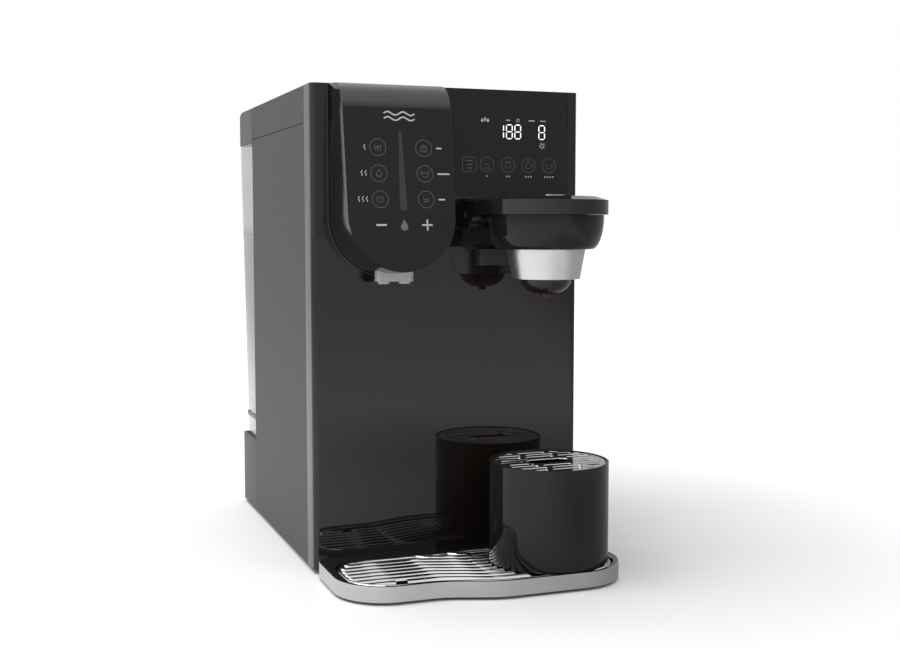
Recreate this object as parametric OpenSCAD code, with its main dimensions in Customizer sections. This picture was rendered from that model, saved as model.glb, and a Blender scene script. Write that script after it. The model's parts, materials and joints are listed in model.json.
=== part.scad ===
// Countertop water dispenser: a filter cabinet with a lift-off rear tank, a leaning touch
// panel with two outlets, a hinged brewing head and a waved drip tray with a cup stand.
// The origin is on the worktop, at the centre of the footprint. The front faces -Y.

/* [Cabinet] */
// Width of the cabinet
body_w = 250; // [246:1:256]
// Height of the cabinet above its feet
body_h = 420; // [414:1:430]
// Depth from the front panel to the back of the side panels
shell_d = 251; // [246:1:260]
// Height of the feet
foot_h = 4; // [3:0.5:6]
// Radius of the front vertical corners
corner_r = 5; // [3:0.5:6]
// Depth of the front panel's wrapped sides
bezel_d = 24; // [20:1:28]
// Height of the lift-off top cover
cover_h = 32; // [30:1:34]

/* [Tank] */
// Depth of the tank bay behind the side panels
tank_d = 79; // [76:1:84]
// Height of the dock that carries the tank
dock_h = 73; // [68:1:76]
// Radius of the rear vertical corners
rear_r = 15; // [8:1:18]
// Thickness of the clear tank wall
tank_wall = 2.5; // [2:0.25:3]

/* [Control panel] */
// Half-width of the housing where it meets the front panel
tongue_r = 50.6; // [50:0.2:52]
// Half-width of the leaning glass
glass_r = 46.3; // [44:0.1:47]
// Lean of the glass from upright
glass_lean = 8.6; // [7:0.2:10]

/* [Brewing head] */
// Radius of the brewing bowl at its top
bowl_r = 49; // [48:0.5:50]
// Radius of the lid
lid_r = 52.5; // [52:0.5:53.5]
// Widest radius of the metal cup below the bowl
cup_r = 33.4; // [32:0.2:33.6]

/* [Drip tray] */
// How far the tray reaches in front of the cabinet
tray_reach = 124; // [124:1:128]
// Height of the tray's metal rim above the worktop
rim_top = 15.5; // [15:0.5:16.5]
// Depth of the wave in the tray's front edge
wave = 15.7; // [10:0.5:17]
// Radius of the cup stand
stand_r = 51.7; // [46:0.5:52]
// Height of the cup stand
stand_h = 86.6; // [70:0.1:95]

/* [Hidden] */

$fn = 72;
eps = 0.01;          // overlap that keeps a cut clean
fit = 0.3;           // gap between separate mouldings
seam = 0.6;          // visible seam between panels
wall = 2.5;          // moulded wall
front_wall = 3;      // front panel thickness

hw = body_w / 2;
brew_out = 73;                        // brewing axis in front of the panel
front_reach = max(tray_reach, brew_out + lid_r);
total_d = front_reach + shell_d + tank_d;
front_y = front_reach - total_d / 2;
seam_y = front_y + bezel_d;
bay_y = front_y + shell_d;
rear_y = bay_y + tank_d;
top_z = foot_h + body_h;
cover_z = top_z - cover_h;
inside_x = hw - wall - 1;

// Control housing
tongue_x = -59;
tongue_z = foot_h + 307;
glass_out = 48;                       // glass plane in front of the panel at tongue_z
glass_top = 91.5;                     // glass above tongue_z, along its lean
glass_t = 1.4;
ridge_x = tongue_r - 2.4;             // ridge down each side of the housing
ridge_y = front_y - 30;

// Rounding over the top of the housing, from level to the lean of the glass
crown_top = top_z - 0.5;
crown_drop = crown_top - tongue_z - glass_top * cos(glass_lean);
crown_r = crown_drop / (1 - sin(glass_lean));
crown_y = front_y - glass_out + glass_top * sin(glass_lean) + crown_r * cos(glass_lean);

// Spout
spout_y = front_y - 24;
spout_w = 32.8;
spout_d = 11;
spout_z = foot_h + 252;
outlet_gap = 18.8;
outlet_z = spout_z - 2;

// Brewing head
brew_x = 60.4;
brew_y = front_y - brew_out;
bowl_top = foot_h + 308.3;
bowl_bottom = foot_h + 279.6;
bowl_foot_r = bowl_r - 10;
hinge_y = front_y - 19;
hinge_z = foot_h + 309;
hinge_pin_r = 2.5;
knuckle_r = 10;
ear_r = 13;
ear_w = 8;
lid_z = bowl_top + fit;
lid_rim_h = 12.2;
lid_crown_h = 3;
lid_crown_in = 10;
lid_back_y = front_y - 5.4;
bracket_t = 9;
bracket_w = 89;
cup_top = bowl_bottom - fit;
cup_bottom = foot_h + 254.5;
cup_foot_r = 29;
cup_t = 1.2;
button_x = -3.5;                      // sideways from the brewing axis
button_y = brew_y - 24;
button_l = 18;
button_w = 9;

// Tray, grille and stand
pad_h = 2.4;
rim_t = 0.8;
tray_top = rim_top - 0.4;
grille_t = 1.7;
stand_x = 66;
stand_y = front_y - 69.5;
stand_z = tray_top;
stand_wall = 2.4;
shelf_drop = 2.4;
stand_hole_l = 41;
stand_hole_w = 16;
slot_pitch = 10;

// Tank
dock_top = foot_h + dock_h;
tank_gap = 0.8;
tank_z = dock_top - 3.5;
tank_top = cover_z - 3.4;
tank_floor = foot_h + 96;
tank_inset_x = 3.5;
tank_inset_y = 8;
lid_axis_y = bay_y + 4;
lid_axis_z = top_z - 3;
lid_pin_r = 1.25;
lid_round = 28;                       // rounding along the lid's rear edge
valve_y = bay_y + 36;

// ---------- shared shapes ----------

// Box between two corners
module block(low, high) {
    translate(low) cube(high - low);
}

// 2D rectangle between two corners with its own radius at front and back corners
module plan(x, y0, y1, front_r, back_r) {
    for (s = [-1, 1]) {
        translate([s * (x - front_r), y0 + front_r]) circle(front_r);
        translate([s * (x - back_r), y1 - back_r]) circle(back_r);
    }
    polygon([[front_r - x, y0], [x - front_r, y0], [x, y0 + front_r], [x, y1 - back_r],
             [x - back_r, y1], [back_r - x, y1], [-x, y1 - back_r], [-x, y0 + front_r]]);
}

// Extrudes an outline drawn in (y, z) from x0 to x1
module along_x(x0, x1) {
    translate([x0, 0, 0]) rotate([90, 0, 90]) linear_extrude(x1 - x0) children();
}

// Extrudes an outline drawn in (x, z) forward from y to y - depth
module forward(y, depth) {
    translate([0, y, 0]) rotate([90, 0, 0]) linear_extrude(depth) children();
}

// Upright rod or hole
module rod(x, y, z0, z1, r) {
    translate([x, y, z0]) cylinder(h = z1 - z0, r = r);
}

// Round bar between any two points
module bar(a, b, r) {
    d = b - a;
    flat = norm([d[0], d[1]]);
    translate(a) rotate([0, atan2(flat, d[2]), atan2(d[1], d[0])]) cylinder(h = norm(d), r = r);
}

// Corners of a route cut twice, so that it bends smoothly; its ends stay where they are
function soften(route) = concat([route[0]],
    [for (i = [0:len(route) - 2], t = [0.25, 0.75])
        if (!(i == 0 && t < 0.5) && !(i == len(route) - 2 && t > 0.5))
        route[i] + t * (route[i + 1] - route[i])],
    [route[len(route) - 1]]);

function unit(v) = v / norm(v);

// Direction of a route at one of its points
function heading(route, i) = unit(route[min(i + 1, len(route) - 1)] - route[max(i - 1, 0)]);

hose_sides = 10;

// Ring of points around a route's point; across is a direction that no stretch of the route follows
function hose_ring(route, i, r, across) = let(
        d = heading(route, i),
        u = unit(cross(d, across)),
        v = cross(u, d))
    [for (k = [0:hose_sides - 1]) let(a = 360 * k / hose_sides) route[i] + r * (cos(a) * u + sin(a) * v)];

// Hose along a route
module hose(route, r, across) {
    path = soften(soften(route));
    n = len(path);
    last = (n - 1) * hose_sides;
    polyhedron(
        points = [for (i = [0:n - 1]) each hose_ring(path, i, r, across)],
        faces = concat(
            [[for (k = [0:hose_sides - 1]) k]],
            [for (i = [0:n - 2], k = [0:hose_sides - 1]) let(
                a = i * hose_sides + k,
                b = i * hose_sides + (k + 1) % hose_sides)
                [a, a + hose_sides, b + hose_sides, b]],
            [[for (k = [hose_sides - 1:-1:0]) last + k]]));
}

// 2D slot with round ends, along X
module stadium(l, w) {
    for (s = [-1, 1]) translate([s * (l - w) / 2, 0]) circle(w / 2);
    square([l - w, w], center = true);
}

// Close-wound round spring standing on z
module spring(x, y, z, h, r, wire, turns) {
    translate([x, y, z + wire / 2]) for (i = [0:turns - 1])
        translate([0, 0, i * (h - wire) / (turns - 1)]) rotate_extrude() translate([r, 0])
            circle(wire / 2, $fn = 16);
}

// ---------- cabinet ----------

foot_spots = [[-102, front_y + 26], [102, front_y + 26], [-102, rear_y - 24], [102, rear_y - 24]];
screw_spots = [[-113, -20], [113, -20], [-113, 110], [113, 110]];
foot_r = 10;
stem_r = 4;
screw_r = 2;
pan_h = 12;
pan_t = 3;
pan_top = foot_h + pan_h;

module base_pan() {
    y0 = front_y + 4;
    y1 = rear_y - 3.5;
    x = inside_x;
    color([0.2, 0.2, 0.2]) difference() {
        translate([0, 0, foot_h]) linear_extrude(pan_h) plan(x, y0, y1, 3, rear_r - 3);
        translate([0, 0, foot_h + pan_t])
            linear_extrude(pan_h) plan(x - wall, y0 + wall, y1 - wall, 3, rear_r - 5);
        for (p = foot_spots) rod(p[0], p[1], foot_h - 1, foot_h + 4, stem_r);
        for (p = screw_spots) rod(p[0], p[1], foot_h - 1, foot_h + 4, screw_r + 0.1);
        for (s = [-1, 1])
            block([s * 48 - 14, y0 - 1, foot_h + pan_t], [s * 48 + 14, y0 + wall + 1, foot_h + 13]);
        for (i = [-5:5]) translate([i * 9, 60, foot_h - 1]) linear_extrude(6) rotate(90) stadium(44, 4);
    }
}

module foot(i) {
    p = foot_spots[i];
    color([0.09, 0.09, 0.09]) {
        rod(p[0], p[1], 0, foot_h, foot_r);
        rod(p[0], p[1], foot_h - eps, foot_h + pan_t - 0.5, stem_r - 0.05);
    }
}

module side_panel(side) {
    rib_ys = [for (y = [seam_y + 45:45:bay_y - 30]) y];
    z1 = cover_z - seam;
    color([0.39, 0.39, 0.39]) mirror([side > 0 ? 1 : 0, 0, 0]) {
        block([-hw, seam_y + seam, foot_h], [wall - hw, bay_y, z1]);
        block([-hw, bay_y - wall, pan_top + fit], [14 - hw, bay_y, z1]);
        block([-hw, seam_y + seam, pan_top + fit], [8 - hw, seam_y + seam + wall, z1]);
        for (y = rib_ys) block([wall - hw - eps, y, foot_h + 30], [wall - hw + 1.4, y + 2, cover_z - 48]);
    }
}

// Outline of the housing on the front panel, in (x, z)
module tongue(r, top) {
    translate([tongue_x, tongue_z]) circle(r);
    translate([tongue_x - r, tongue_z]) square([2 * r, top - tongue_z]);
}

display_x0 = -4.6;
display_x1 = 114.8;
display_z0 = foot_h + 325.8;
display_depth = 2;

module front_panel() {
    color([0.1, 0.095, 0.09]) difference() {
        union() {
            translate([0, 0, foot_h]) linear_extrude(body_h) difference() {
                plan(hw, front_y, seam_y, corner_r, eps);
                translate([0, front_wall]) plan(hw - front_wall, front_y, seam_y, 2, eps);
            }
            translate([0, 0, top_z - front_wall])
                linear_extrude(front_wall) plan(hw, front_y, seam_y, corner_r, eps);
        }
        block([display_x0, front_y - 1, display_z0], [display_x1, front_y + display_depth, top_z - 0.4]);
        block([30, front_y, display_z0 + 30], [90, front_y + 5, display_z0 + 42]);
        block([tongue_x - 25, front_y - 1, 330], [tongue_x + 25, front_y + 5, 350]);
        block([tongue_x - 16, front_y - 1, 290], [tongue_x + 16, front_y + 5, 306]);
        block([brew_x - 12, front_y - 1, 288], [brew_x + 12, front_y + 5, 300]);
        for (s = [-1, 1]) block([s * 48 - 13, front_y - 1, 7.5], [s * 48 + 13, front_y + 5, 11.5]);
    }
}

module display_glass() {
    color([0.06, 0.06, 0.06])
        block([display_x0 + 0.2, front_y, display_z0 + 0.2],
            [display_x1 - 0.2, front_y + display_depth - 0.1, top_z - 0.6]);
}

module display_board() {
    y = front_y + front_wall + 1;
    color([0.05, 0.3, 0.15]) {
        block([2, y, display_z0 + 8], [108, y + 1.6, top_z - 12]);
        for (i = [0:3])
            block([14 + i * 24, y + 1.5, display_z0 + 20], [24 + i * 24, y + 4, display_z0 + 30]);
        block([50, y + 1.5, display_z0 + 50], [70, y + 7, display_z0 + 57]);
    }
}

module bay_wall() {
    color([0.25, 0.25, 0.25]) difference() {
        block([-inside_x, bay_y - wall - 3.2, pan_top + fit],
            [inside_x, bay_y - wall - 0.2, cover_z - seam]);
        block([-30, bay_y - 10, 30], [30, bay_y, 60]);
    }
}

// Side view of the rear ledge, in (y, z)
module dock_side() {
    r = 6;
    translate([rear_y - r, dock_top - r]) circle(r);
    polygon([[bay_y, foot_h], [rear_y, foot_h], [rear_y, dock_top - r], [rear_y - r, dock_top],
        [bay_y, dock_top]]);
}

inlet_x = 80;
inlet_z = 34;

module tank_dock() {
    color([0.48, 0.48, 0.48]) difference() {
        intersection() {
            along_x(-hw, hw) dock_side();
            linear_extrude(dock_top + 1) plan(hw, bay_y, rear_y, eps, rear_r);
        }
        difference() {
            linear_extrude(dock_top - 6.5) plan(hw - wall, bay_y + wall, rear_y - wall, eps, rear_r - wall);
            rod(0, valve_y, 56, dock_top, 18);
        }
        translate([0, 0, dock_top - 3.6])
            linear_extrude(5) plan(hw - 3.4, bay_y - 1, rear_y - 6, eps, rear_r - 3);
        rod(0, valve_y, 20, dock_top, 6);
        block([-20, bay_y - 1, 30], [20, bay_y + wall + 1, 60]);
        block([-hw + wall, bay_y - 1, foot_h - 1], [hw - wall, bay_y + wall + 1, pan_top + fit]);
        block([inlet_x - 14.2, rear_y - 6, inlet_z - 11.2], [inlet_x + 14.2, rear_y + 1, inlet_z + 11.2]);
    }
}

module top_cover() {
    color([0.39, 0.39, 0.39]) difference() {
        block([-hw, seam_y + seam, cover_z], [hw, bay_y, top_z]);
        block([-hw + wall, seam_y + seam + wall, cover_z - 1], [hw - wall, bay_y - wall, top_z - 3]);
    }
}

// ---------- tank ----------

// Thin horizontal slice of the tank, inset for its taper and its wall
module tank_slice(z, taper, inset) {
    translate([0, 0, z]) linear_extrude(eps)
        plan(hw - 0.5 - taper * tank_inset_x - inset, bay_y + tank_gap + inset,
             rear_y - 0.5 - taper * tank_inset_y - inset, 3, rear_r - inset, $fn = 48);
}

// Share of the tank's taper reached at a height
function taper_at(z) = (tank_top - z) / (tank_top - tank_z);

module tank_form(z0, z1, inset) {
    hull() {
        tank_slice(z0, taper_at(z0), inset);
        tank_slice(z1 - eps, taper_at(z1), inset);
    }
}

post_x = 95;
post_w = 7;

module water_tank() {
    color([0.76, 0.78, 0.8, 0.45]) {
        difference() {
            tank_form(tank_z, tank_top, 0);
            tank_form(tank_floor + 2.5, tank_top + 1, tank_wall);
            tank_form(tank_z - 1, tank_floor, tank_wall);
            rod(0, valve_y, tank_floor - 1, tank_floor + 4, 3);
        }
        for (s = [-1, 1]) difference() {
            along_x(s * post_x - post_w / 2, s * post_x + post_w / 2) {
                translate([lid_axis_y, lid_axis_z]) circle(2.8);
                translate([lid_axis_y - 2.8, tank_top - 8]) square([5.6, lid_axis_z - tank_top + 8]);
            }
            bar([-hw, lid_axis_y, lid_axis_z], [hw, lid_axis_y, lid_axis_z], lid_pin_r + 0.05);
            block([-hw, lid_axis_y - 4, tank_top - 9], [hw, bay_y + tank_gap + tank_wall - 0.2, tank_top]);
        }
    }
}

module tank_band() {
    z = tank_floor - 2;
    color([0.3, 0.3, 0.3]) difference() {
        tank_form(z, z + 4, -1);
        tank_form(z - 1, z + 5, -0.05);
        block([-hw, bay_y - 5, z - 1], [hw, bay_y + tank_gap + 0.1, z + 5]);
    }
}

// Side view of the tank lid, in (y, z)
module lid_side() {
    r = lid_round;
    y0 = lid_axis_y - 2.9;
    z0 = cover_z - 3;
    translate([lid_axis_y, lid_axis_z]) circle(2.9);
    intersection() {
        translate([rear_y - r, top_z - r]) circle(r);
        translate([rear_y - r, z0]) square([r, top_z - z0]);
    }
    polygon([[y0, z0], [rear_y, z0], [rear_y, top_z - r], [rear_y - r, top_z],
             [lid_axis_y, top_z - 0.1], [y0, lid_axis_z]]);
}

module tank_lid() {
    color([0.48, 0.48, 0.48]) difference() {
        intersection() {
            along_x(-hw, hw) lid_side();
            linear_extrude(top_z + 1) plan(hw, bay_y, rear_y, eps, rear_r);
        }
        intersection() {
            along_x(-hw, hw) polygon([[lid_axis_y + 5, cover_z - 10], [rear_y - wall, cover_z - 10],
                [rear_y - wall, top_z - lid_round], [rear_y - lid_round * 0.4, top_z - lid_round * 0.4],
                [rear_y - lid_round, top_z - wall], [lid_axis_y + 5, top_z - wall]]);
            linear_extrude(top_z + 1) plan(hw - wall, bay_y, rear_y - wall, eps, rear_r - wall);
        }
        for (s = [-1, 1]) block([s * post_x - post_w / 2 - fit, bay_y, cover_z - 10],
                                [s * post_x + post_w / 2 + fit, lid_axis_y + 5.5, top_z + 1]);
        bar([-hw, lid_axis_y, lid_axis_z], [hw, lid_axis_y, lid_axis_z], lid_pin_r + 0.05);
    }
}

module tank_lid_pin() {
    color("silver") bar([-hw + 4, lid_axis_y, lid_axis_z], [hw - 4, lid_axis_y, lid_axis_z], lid_pin_r);
}

module tank_valve() {
    color([0.85, 0.85, 0.83]) {
        rod(0, valve_y, tank_floor + 2.7, tank_floor + 5.5, 9.5);
        rod(0, valve_y, dock_top - 3, tank_floor + 3, 2.5);
        rod(0, valve_y, dock_top - 3, dock_top, 4.5);
    }
}

module tank_valve_spring() {
    color("silver") spring(0, valve_y, dock_top + 0.2, tank_floor - dock_top - 0.4, 4, 0.9, 6);
}

module tank_seal() {
    color([0.7, 0.25, 0.2]) translate([0, valve_y, dock_top - 3.6 + 1.2])
        rotate_extrude() translate([11, 0]) circle(1.2, $fn = 24);
}

// ---------- control panel ----------

// Frame of the leaning glass: local z runs up the glass, local -y points out of it
module on_glass(out) {
    translate([0, front_y - glass_out, tongue_z]) rotate([-glass_lean, 0, 0])
        translate([0, -out, -tongue_z]) children();
}

module control_form() {
    hull() {
        forward(front_y, 1, $fn = 96) tongue(tongue_r, crown_top);
        on_glass(0) forward(0.5, 0.5) tongue(glass_r + 0.6, tongue_z + glass_top, $fn = 96);
        translate([tongue_x - ridge_x + 0.6, crown_y, crown_top - crown_r]) rotate([0, 90, 0])
            cylinder(h = 2 * ridge_x - 1.2, r = crown_r, $fn = 96);
        for (s = [-1, 1]) block([tongue_x + s * (ridge_x - 0.5) - 0.5, ridge_y, tongue_z + 4],
                                [tongue_x + s * (ridge_x - 0.5) + 0.5, ridge_y + 0.5, top_z - crown_r]);
    }
}

module control_housing() {
    color([0.12, 0.12, 0.12]) difference() {
        control_form();
        forward(front_y + 1, 24) tongue(tongue_r - 5, top_z - 22);
        block([tongue_x - spout_w / 2 - 0.2, spout_y - spout_d / 2 - 0.2, spout_z - 1],
              [tongue_x + spout_w / 2 + 0.2, spout_y + spout_d / 2 + 0.2, spout_z + 48]);
        block([-hw, front_y, spout_z], [hw, front_y + crown_r, top_z + 1]);
    }
}

module control_trim() {
    color([0.3, 0.27, 0.25]) forward(front_y, 1.6) difference() {
        tongue(tongue_r + 1.5, top_z);
        tongue(tongue_r + 0.1, top_z + 1);
    }
}

module control_glass() {
    color([0.06, 0.06, 0.06]) on_glass(0.05) forward(0, glass_t) tongue(glass_r, tongue_z + glass_top);
}

module control_board() {
    y = front_y - 16;
    color([0.05, 0.3, 0.15]) {
        block([tongue_x - 38, y - 1.6, tongue_z - 4], [tongue_x + 38, y, tongue_z + 80]);
        for (i = [0:2])
            block([tongue_x - 30 + i * 22, y - eps, tongue_z + 10],
                [tongue_x - 18 + i * 22, y + 3, tongue_z + 22]);
        block([tongue_x - 12, y - eps, tongue_z + 40], [tongue_x + 12, y + 6, tongue_z + 48]);
    }
}

// ---------- spout ----------

module spout_block() {
    r = 3;
    x = spout_w / 2;
    y = spout_d / 2;
    color([0.78, 0.78, 0.78]) difference() {
        translate([tongue_x, spout_y, spout_z]) linear_extrude(22) {
            for (sx = [-1, 1], sy = [-1, 1]) translate([sx * (x - r), sy * (y - r)]) circle(r);
            square([2 * x, 2 * (y - r)], center = true);
            square([2 * (x - r), 2 * y], center = true);
        }
        for (s = [-1, 1]) rod(tongue_x + s * outlet_gap / 2, spout_y, spout_z - 1, spout_z + 30, 3.6);
        block([tongue_x + x - 2.6, spout_y - y - 1, spout_z + 1.6],
            [tongue_x + x - 1.6, spout_y - y + 1.2, spout_z + 6]);
    }
}

module outlet(x) {
    color([0.8, 0.8, 0.8]) difference() {
        union() {
            rod(x, spout_y, outlet_z, spout_z, 5);
            rod(x, spout_y, spout_z - eps, spout_z + 16, 3.5);
        }
        rod(x, spout_y, outlet_z - 1, spout_z + 20, 2.2);
        translate([x, spout_y, outlet_z - eps]) cylinder(h = 1.5, r1 = 4, r2 = 2.2);
    }
}

// ---------- brewing head ----------

module brew_bracket() {
    x = bracket_w / 2;
    z0 = bowl_bottom - 0.6;
    z1 = hinge_z - 1;
    r = 5;
    color([0.13, 0.13, 0.13]) translate([brew_x, 0, 0]) difference() {
        union() {
            forward(front_y, bracket_t) {
                for (s = [-1, 1]) translate([s * (x - r), z0 + r]) circle(r);
                polygon([[r - x, z0], [x - r, z0], [x, z0 + r], [x, z1], [-x, z1], [-x, z0 + r]]);
            }
            along_x(-x + 0.4, x - 0.4) {
                translate([hinge_y, hinge_z]) circle(knuckle_r);
                polygon([[hinge_y, hinge_z - knuckle_r], [front_y - bracket_t + 1, hinge_z - knuckle_r],
                         [front_y - bracket_t + 1, z1], [hinge_y, z1]]);
            }
        }
        bar([-x - 1, hinge_y, hinge_z], [x + 1, hinge_y, hinge_z], hinge_pin_r + 0.05);
        block([-8, front_y - bracket_t - 1, z0 + 5], [8, front_y + 1, z0 + 17]);
    }
}

module brew_mount() {
    z1 = bowl_bottom - 0.9;
    color([0.15, 0.15, 0.15]) translate([brew_x, 0, 0]) difference() {
        forward(front_y, bracket_t + 1) translate([-35, z1 - 14.4]) square([70, 14.4]);
        for (i = [-2:2])
            block([i * 12 - 3.5, front_y - bracket_t - 2, z1 - 5.2],
                [i * 12 + 3.5, front_y - bracket_t - 0.5, z1 - 4]);
        block([-30, front_y - bracket_t - 2, z1 - 12.6], [30, front_y - bracket_t - 0.6, z1 - 11.6]);
    }
}

bowl_steps = 12;

// Outer wall of the bowl: a quarter ellipse from its foot to its top
function bowl_point(i) = let(a = i * 90 / bowl_steps)
    [bowl_foot_r + (bowl_r - bowl_foot_r) * sin(a), bowl_bottom + (bowl_top - bowl_bottom) * (1 - cos(a))];

module brew_bowl() {
    outer = [for (i = [0:bowl_steps]) bowl_point(i)];
    color([0.14, 0.14, 0.14]) translate([brew_x, 0, 0]) difference() {
        union() {
            translate([0, brew_y, 0]) rotate_extrude()
                polygon(concat([[cup_r + 0.5, bowl_bottom]], outer, [[cup_r + 0.5, bowl_top]]));
            block([-34, brew_y + bowl_foot_r - 8, bowl_bottom + 3],
                [34, hinge_y - knuckle_r - 0.3, bowl_top - 1]);
            block([-34, hinge_y - knuckle_r - 1, bowl_bottom + 3],
                [34, front_y - bracket_t, hinge_z - knuckle_r - 0.4]);
        }
        translate([0, brew_y, bowl_bottom + 9]) cylinder(h = 40, r = bowl_foot_r - 2.5);
        translate([0, brew_y, bowl_bottom - 1]) cylinder(h = 40, r = cup_r + 0.5);
        bar([-lid_r, hinge_y, hinge_z], [lid_r, hinge_y, hinge_z], knuckle_r + 0.35);
    }
}

module brew_hinge_pin() {
    color("silver")
        bar([brew_x - lid_r + 0.3, hinge_y, hinge_z], [brew_x + lid_r - 0.3, hinge_y, hinge_z],
            hinge_pin_r);
}

// Plan of the lid: a disc with straight sides back towards the panel
module lid_plan(r, back) {
    translate([0, brew_y]) circle(r);
    translate([-r, brew_y]) square([2 * r, back - brew_y]);
}

// Thin slice of the lid's sloped crown, a set height above the rim
module crown_slice(height, inset) {
    translate([0, 0, lid_z + lid_rim_h - eps + height]) linear_extrude(eps)
        lid_plan(lid_r - inset, hinge_y - inset / 4);
}

module lid_ear() {
    fillet = 8;
    front = hinge_y - ear_r;
    difference() {
        union() {
            translate([hinge_y, hinge_z]) circle(ear_r);
            translate([front, hinge_z]) square([lid_back_y - front, lid_z + lid_rim_h - hinge_z]);
            translate([front - fillet - 2, lid_z - fillet]) square([fillet + 4, fillet + 1]);
        }
        translate([front - fillet - 2, lid_z - fillet]) circle(fillet);
    }
}

module brew_lid() {
    rim_top_z = lid_z + lid_rim_h;
    inner = bracket_w / 2 + 0.3;
    color([0.12, 0.115, 0.11]) translate([brew_x, 0, 0]) {
        difference() {
            union() {
                translate([0, 0, lid_z]) linear_extrude(lid_rim_h) lid_plan(lid_r, lid_back_y);
                hull() {
                    crown_slice(0, 1.2);
                    crown_slice(lid_crown_h, lid_crown_in);
                }
                for (s = [-1, 1])
                    along_x(s > 0 ? lid_r - ear_w : -lid_r, s > 0 ? lid_r : ear_w - lid_r) lid_ear();
            }
            block([-inner, hinge_y, lid_z - 20], [inner, front_y, rim_top_z + 10]);
            bar([-inner, hinge_y, hinge_z], [inner, hinge_y, hinge_z], knuckle_r + 0.4);
            bar([-lid_r - 1, hinge_y, hinge_z], [lid_r + 1, hinge_y, hinge_z], hinge_pin_r + 0.05);
            translate([0, brew_y, lid_z - 1]) cylinder(h = 6, r = bowl_foot_r - 2);
            translate([button_x, button_y, rim_top_z - 1.5]) linear_extrude(10)
                stadium(button_l + 0.6, button_w + 0.6);
        }
        translate([0, brew_y, lid_z - 8]) difference() {
            cylinder(h = 14, r = 24);
            translate([0, 0, -1]) cylinder(h = 7, r = 21);
            translate([0, 0, 2]) rotate_extrude() translate([24, 0]) circle(1.6, $fn = 24);
        }
    }
}

module lid_button() {
    color([0.85, 0.85, 0.86]) translate([brew_x + button_x, button_y, lid_z + lid_rim_h + 1.2])
        linear_extrude(lid_crown_h) stadium(button_l, button_w);
}

module lid_button_spring() {
    color("silver") spring(brew_x + button_x, button_y, lid_z + lid_rim_h - 1.4, 2.5, 2.5, 0.5, 3);
}

module lid_seal() {
    color([0.55, 0.55, 0.55]) translate([brew_x, brew_y, lid_z - 6]) rotate_extrude() translate([24.1, 0])
        intersection() {
            circle(1.5, $fn = 24);
            translate([-1.4, -2]) square([4, 4]);
        }
}

module brew_cup() {
    color([0.86, 0.86, 0.87]) translate([brew_x, brew_y, 0]) rotate_extrude() polygon([
        [cup_foot_r, cup_bottom], [cup_r, cup_top], [cup_r, cup_top + 7], [cup_r - cup_t, cup_top + 7],
        [cup_r - cup_t, cup_top], [cup_foot_r - cup_t, cup_bottom + cup_t], [8, cup_bottom + cup_t],
            [8, cup_bottom]]);
}

module brew_sieve() {
    z = cup_bottom + 6;
    r = cup_foot_r + (cup_r - cup_foot_r) * 6 / (cup_top - cup_bottom) - cup_t - 0.6;
    color([0.7, 0.7, 0.7]) translate([brew_x, brew_y, z]) difference() {
        cylinder(h = 1, r = r);
        for (ring = [1:3], i = [0:ring * 6 - 1]) rotate(i * 60 / ring)
            translate([ring * 6.5, 0, -1]) cylinder(h = 3, r = 1);
        translate([0, 0, -1]) cylinder(h = 3, r = 1);
    }
}

dome_r = 21.8;
dome_drop = 13.5;
nozzle_r = 3;
nozzle_tip = 2.6;                     // below the dome

// Point on the bulged underside of the clear outlet cover; t runs from the rim to the centre
function dome_point(t, inset) = [nozzle_r + (dome_r - inset - nozzle_r) * cos(t),
    cup_bottom - (dome_drop - inset) * sin(t)];

module outlet_dome() {
    steps = 10;
    outer = [for (i = [0:steps]) dome_point(i * 90 / steps, 0)];
    inner = [for (i = [steps:-1:0]) dome_point(i * 90 / steps, 1.6)];
    color([0.25, 0.15, 0.13, 0.7]) translate([brew_x, brew_y, 0])
        rotate_extrude() polygon(concat(outer, inner));
}

module outlet_nozzle() {
    dome_z = cup_bottom - dome_drop;
    color([0.25, 0.15, 0.13]) translate([brew_x, brew_y, 0]) difference() {
        union() {
            rod(0, 0, dome_z - nozzle_tip, cup_bottom - 1, nozzle_r - 0.05);
            rod(0, 0, dome_z - nozzle_tip, dome_z - 0.1, nozzle_r + 0.5);
        }
        rod(0, 0, cup_bottom - 30, cup_bottom, 1.8);
    }
}

// ---------- drip tray ----------

arc_steps = 18;
left_r = 44.2;
right_r = 47.5;
back_r = 22.5;

// Smooth step from 0 to 1
function ease(t) = let(u = min(1, max(0, t))) u * u * (3 - 2 * u);

// Front edge of the tray at x: a low lobe on the left, a deeper one on the right
function tray_front(x) = front_y - tray_reach + wave - wave * ease((x + 53) / 63);

// Arc of points about a centre
function arc(c, r, a0, a1) =
    [for (i = [0:arc_steps]) let(a = a0 + (a1 - a0) * i / arc_steps) c + r * [cos(a), sin(a)]];

// Outline of the tray, moved inwards by d
function tray_points(d) = let(
        left = [-hw + left_r, tray_front(-hw) + left_r],
        right = [hw - right_r, tray_front(hw) + right_r],
        back = front_y - back_r + 3.5)
    concat(
        arc(left, left_r - d, 180, 270),
        [for (x = [left[0] + 6:6:right[0] - 1]) [x, tray_front(x) + d]],
        arc(right, right_r - d, 270, 360),
        arc([hw - back_r, back], back_r - d, 0, 80),
        arc([-hw + back_r, back], back_r - d, 100, 180));

// Tray outline cut off flat just in front of the panel
module tray_shape(d, back) {
    intersection() {
        polygon(tray_points(d));
        translate([-hw, front_y - tray_reach]) square([body_w, tray_reach + back]);
    }
}

grille_back = -19;
grille_side = 8;                      // black border left and right of the grille
grille_front = 5;

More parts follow.
